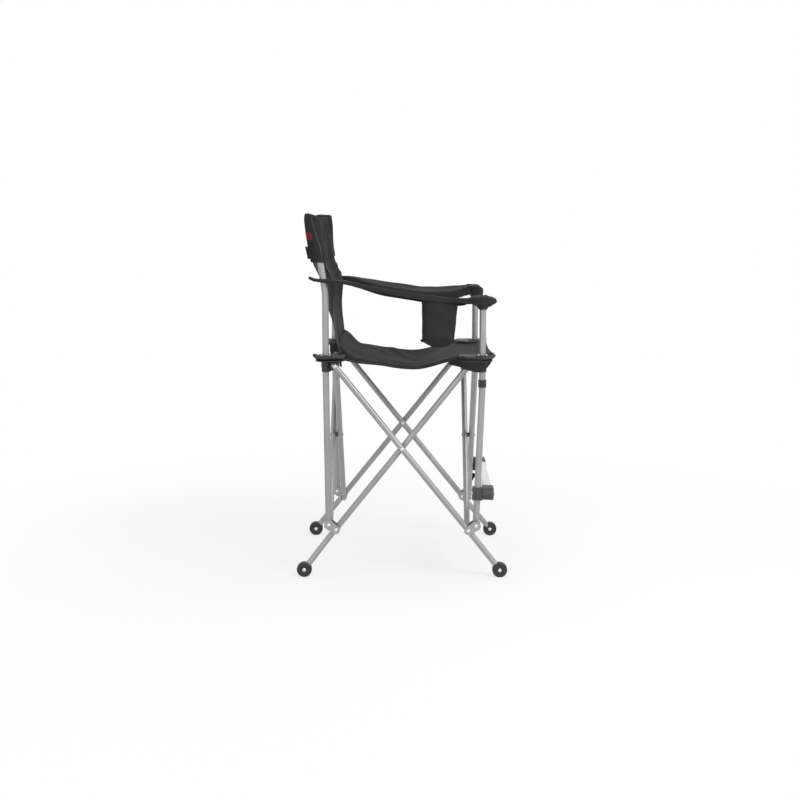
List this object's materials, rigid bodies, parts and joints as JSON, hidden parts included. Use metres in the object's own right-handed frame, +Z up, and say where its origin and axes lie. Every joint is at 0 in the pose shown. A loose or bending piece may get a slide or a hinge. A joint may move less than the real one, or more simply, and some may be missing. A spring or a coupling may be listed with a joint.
{
  "type": "folding camping chair",
  "caption": "Bar-height folding camping chair: scissor-folding silver tube frame, black cloth sling seat and back, cloth armrests, cup holder and swing-up footrest",
  "frame": {"origin": "on the floor at the middle of the four feet", "axes": "+X to the chair's front, +Y to the sitter's left, +Z up"},
  "size_m": [0.7172, 0.626, 1.226],
  "materials": {
    "frame_tube": "satin silver-grey powder coat over steel tube",
    "bracket_steel": "silver-grey painted pressed steel",
    "rivet_steel": "bright zinc-plated steel",
    "black_plastic": "black moulded nylon with a fine texture",
    "footrest_plastic": "dark grey moulded plastic",
    "footrest_aluminium": "satin anodised aluminium profile",
    "black_cloth": "black woven polyester with sewn hems"
  },
  "bodies": {
    "front_left_post": {"post_front_left": "frame_tube", "bracket_front_left": "bracket_steel", "bracket_rivets_front_left": "rivet_steel", "arm_cap_front_left": "black_plastic", "footrest_clamp_left": "footrest_plastic", "footrest_bolt_left": "rivet_steel"},
    "front_left_hub": {"hub_front_left": "black_plastic", "hub_rivets_front_left": "rivet_steel"},
    "front_right_post": {"post_front_right": "frame_tube", "bracket_front_right": "bracket_steel", "bracket_rivets_front_right": "rivet_steel", "arm_cap_front_right": "black_plastic", "collar_front_right": "black_plastic", "footrest_clamp_right": "footrest_plastic", "footrest_bolt_right": "rivet_steel", "cup_holder": "black_cloth"},
    "front_right_hub": {"hub_front_right": "black_plastic", "hub_rivets_front_right": "rivet_steel"},
    "rear_left_post": {"post_rear_left": "frame_tube", "bracket_rear_left": "bracket_steel", "bracket_rivets_rear_left": "rivet_steel", "back_panel": "black_cloth", "back_sleeve_rear_left": "black_cloth", "armrest_left": "black_cloth"},
    "rear_left_hub": {"hub_rear_left": "black_plastic", "hub_rivets_rear_left": "rivet_steel"},
    "rear_right_post": {"post_rear_right": "frame_tube", "bracket_rear_right": "bracket_steel", "bracket_rivets_rear_right": "rivet_steel", "back_sleeve_rear_right": "black_cloth", "armrest_right": "black_cloth"},
    "rear_right_hub": {"hub_rear_right": "black_plastic", "hub_rivets_rear_right": "rivet_steel"},
    "left_outer_tube": {"tube_left_outer": "frame_tube", "foot_left_outer": "black_plastic", "rivets_left_outer": "rivet_steel", "spacer_left": "black_plastic"},
    "left_inner_tube": {"tube_left_inner": "frame_tube", "foot_left_inner": "black_plastic", "rivets_left_inner": "rivet_steel"},
    "right_outer_tube": {"tube_right_outer": "frame_tube", "foot_right_outer": "black_plastic", "rivets_right_outer": "rivet_steel"},
    "right_inner_tube": {"tube_right_inner": "frame_tube", "foot_right_inner": "black_plastic", "rivets_right_inner": "rivet_steel", "spacer_right": "black_plastic"},
    "front_outer_tube": {"tube_front_outer": "frame_tube", "rivet_front": "rivet_steel", "spacer_front": "black_plastic"},
    "front_inner_tube": {"tube_front_inner": "frame_tube"},
    "rear_outer_tube": {"tube_rear_outer": "frame_tube"},
    "rear_inner_tube": {"tube_rear_inner": "frame_tube", "rivet_rear": "rivet_steel", "spacer_rear": "black_plastic"},
    "footrest": {"footrest_panel": "footrest_aluminium", "footrest_cap_right": "footrest_plastic", "footrest_cap_left": "footrest_plastic"},
    "seat_left_half": {"seat_left": "black_cloth"},
    "seat_right_half": {"seat_right": "black_cloth"}
  },
  "joints": [
    {"name": "fold", "type": "hinge", "parent": "rear_left_post", "child": "left_outer_tube", "pos_m": [-0.225, 0.28, 0.16], "axis": [0, -1, 0], "range_deg": [0, 27], "deforming": ["seat_left", "seat_right", "back_panel", "armrest_left", "armrest_right", "cup_holder"]},
    {"name": "left_crossing", "type": "hinge", "parent": "left_outer_tube", "child": "left_inner_tube", "pos_m": [0, 0.268, 0.441], "axis": [0, 1, 0], "range_deg": [0, 54]},
    {"name": "front_left_post_pivot", "type": "hinge", "parent": "left_inner_tube", "child": "front_left_post", "pos_m": [0.225, 0.256, 0.16], "axis": [0, -1, 0], "range_deg": [0, 27]},
    {"name": "rear_left_hub_pivot", "type": "hinge", "parent": "left_inner_tube", "child": "rear_left_hub", "pos_m": [-0.225, 0.256, 0.722], "axis": [0, -1, 0], "range_deg": [0, 27]},
    {"name": "front_left_hub_pivot", "type": "hinge", "parent": "left_outer_tube", "child": "front_left_hub", "pos_m": [0.225, 0.28, 0.722], "axis": [0, 1, 0], "range_deg": [0, 27]},
    {"name": "rear_tube_pivot", "type": "hinge", "parent": "rear_left_post", "child": "rear_inner_tube", "pos_m": [-0.2235, 0.225, 0.16], "axis": [-1, 0, 0], "range_deg": [0, 27]},
    {"name": "rear_crossing", "type": "hinge", "parent": "rear_inner_tube", "child": "rear_outer_tube", "pos_m": [-0.2355, 0, 0.441], "axis": [1, 0, 0], "range_deg": [0, 54]},
    {"name": "rear_right_post_pivot", "type": "hinge", "parent": "rear_outer_tube", "child": "rear_right_post", "pos_m": [-0.2475, -0.225, 0.16], "axis": [-1, 0, 0], "range_deg": [0, 27]},
    {"name": "rear_right_hub_pivot", "type": "hinge", "parent": "rear_inner_tube", "child": "rear_right_hub", "pos_m": [-0.2235, -0.225, 0.722], "axis": [1, 0, 0], "range_deg": [0, 27]},
    {"name": "right_tube_pivot", "type": "hinge", "parent": "rear_right_post", "child": "right_inner_tube", "pos_m": [-0.225, -0.256, 0.16], "axis": [0, -1, 0], "range_deg": [0, 27]},
    {"name": "right_crossing", "type": "hinge", "parent": "right_inner_tube", "child": "right_outer_tube", "pos_m": [0, -0.268, 0.441], "axis": [0, 1, 0], "range_deg": [0, 54]},
    {"name": "front_right_post_pivot", "type": "hinge", "parent": "right_outer_tube", "child": "front_right_post", "pos_m": [0.225, -0.28, 0.16], "axis": [0, -1, 0], "range_deg": [0, 27]},
    {"name": "front_right_hub_pivot", "type": "hinge", "parent": "right_inner_tube", "child": "front_right_hub", "pos_m": [0.225, -0.256, 0.722], "axis": [0, 1, 0], "range_deg": [0, 27]},
    {"name": "front_tube_pivot", "type": "hinge", "parent": "front_left_post", "child": "front_outer_tube", "pos_m": [0.2475, 0.225, 0.16], "axis": [-1, 0, 0], "range_deg": [0, 27]},
    {"name": "front_crossing", "type": "hinge", "parent": "front_outer_tube", "child": "front_inner_tube", "pos_m": [0.2355, 0, 0.441], "axis": [1, 0, 0], "range_deg": [0, 54]},
    {"name": "footrest_swing", "type": "hinge", "parent": "front_right_post", "child": "footrest", "pos_m": [0.25559, -0.268, 0.286], "axis": [0.9993, 0, -0.0379], "range_deg": [0, 84]},
    {"name": "seat_left_drop", "type": "hinge", "parent": "rear_left_hub", "child": "seat_left_half", "pos_m": [0, 0.25, 0.7423], "axis": [1, 0, 0], "range_deg": [0, 71]},
    {"name": "seat_right_drop", "type": "hinge", "parent": "rear_right_hub", "child": "seat_right_half", "pos_m": [0, -0.25, 0.7423], "axis": [-1, 0, 0], "range_deg": [0, 71]}
  ],
  "couplings": [
    {"joint": "left_crossing", "follows": "fold", "ratio": 2},
    {"joint": "front_left_post_pivot", "follows": "fold", "ratio": 1},
    {"joint": "rear_left_hub_pivot", "follows": "fold", "ratio": 1},
    {"joint": "front_left_hub_pivot", "follows": "fold", "ratio": 1},
    {"joint": "rear_tube_pivot", "follows": "fold", "ratio": 1},
    {"joint": "rear_crossing", "follows": "fold", "ratio": 2},
    {"joint": "rear_right_post_pivot", "follows": "fold", "ratio": 1},
    {"joint": "rear_right_hub_pivot", "follows": "fold", "ratio": 1},
    {"joint": "right_tube_pivot", "follows": "fold", "ratio": 1},
    {"joint": "right_crossing", "follows": "fold", "ratio": 2},
    {"joint": "front_right_post_pivot", "follows": "fold", "ratio": 1},
    {"joint": "front_right_hub_pivot", "follows": "fold", "ratio": 1},
    {"joint": "front_tube_pivot", "follows": "fold", "ratio": 1},
    {"joint": "front_crossing", "follows": "fold", "ratio": 2},
    {"joint": "footrest_swing", "follows": "fold", "ratio": 3.1111},
    {"joint": "seat_left_drop", "follows": "fold", "ratio": 2.6296},
    {"joint": "seat_right_drop", "follows": "fold", "ratio": 2.6296}
  ]
}
